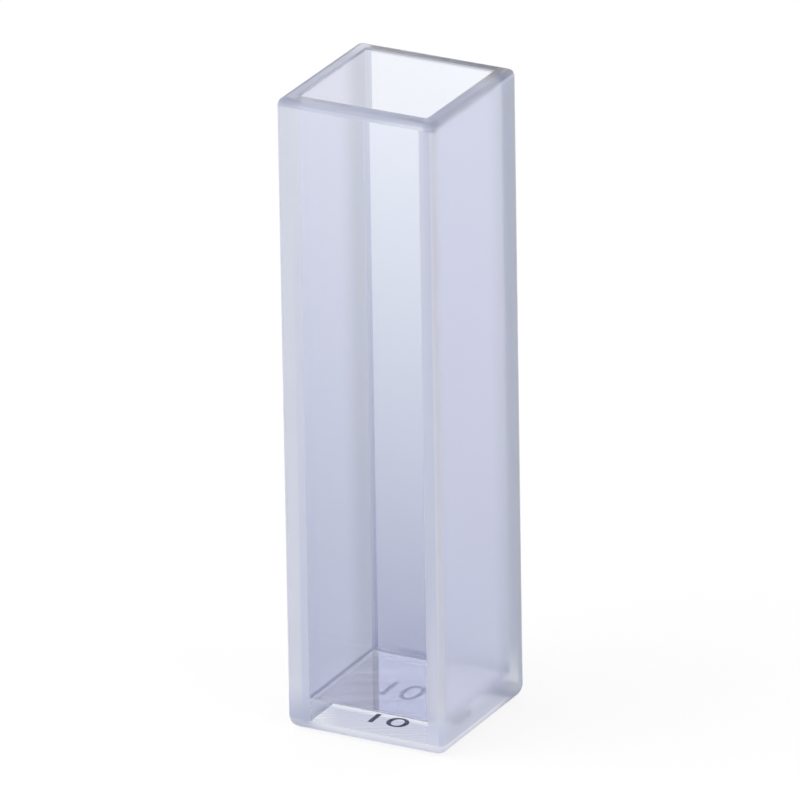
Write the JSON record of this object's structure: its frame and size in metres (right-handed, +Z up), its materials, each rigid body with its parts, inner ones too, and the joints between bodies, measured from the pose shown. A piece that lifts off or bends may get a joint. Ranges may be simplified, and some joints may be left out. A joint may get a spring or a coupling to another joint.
{
  "type": "cuvette",
  "caption": "Tall square glass cell, open at the top, with clear polished windows front and back, ground sides and rounded edges, for holding a liquid sample in a light path.",
  "frame": {"origin": "middle of the underside", "axes": "+Z up out of the open mouth; the light path runs along Y, through the two clear windows; the two ground sides face +X and -X"},
  "size_m": [0.0126, 0.0126, 0.048],
  "materials": {
    "fused_glass": "clear polished windows and base, finely ground sides and rounded ground edges"
  },
  "bodies": {
    "root": {"cell_body": "fused_glass"}
  },
  "joints": []
}
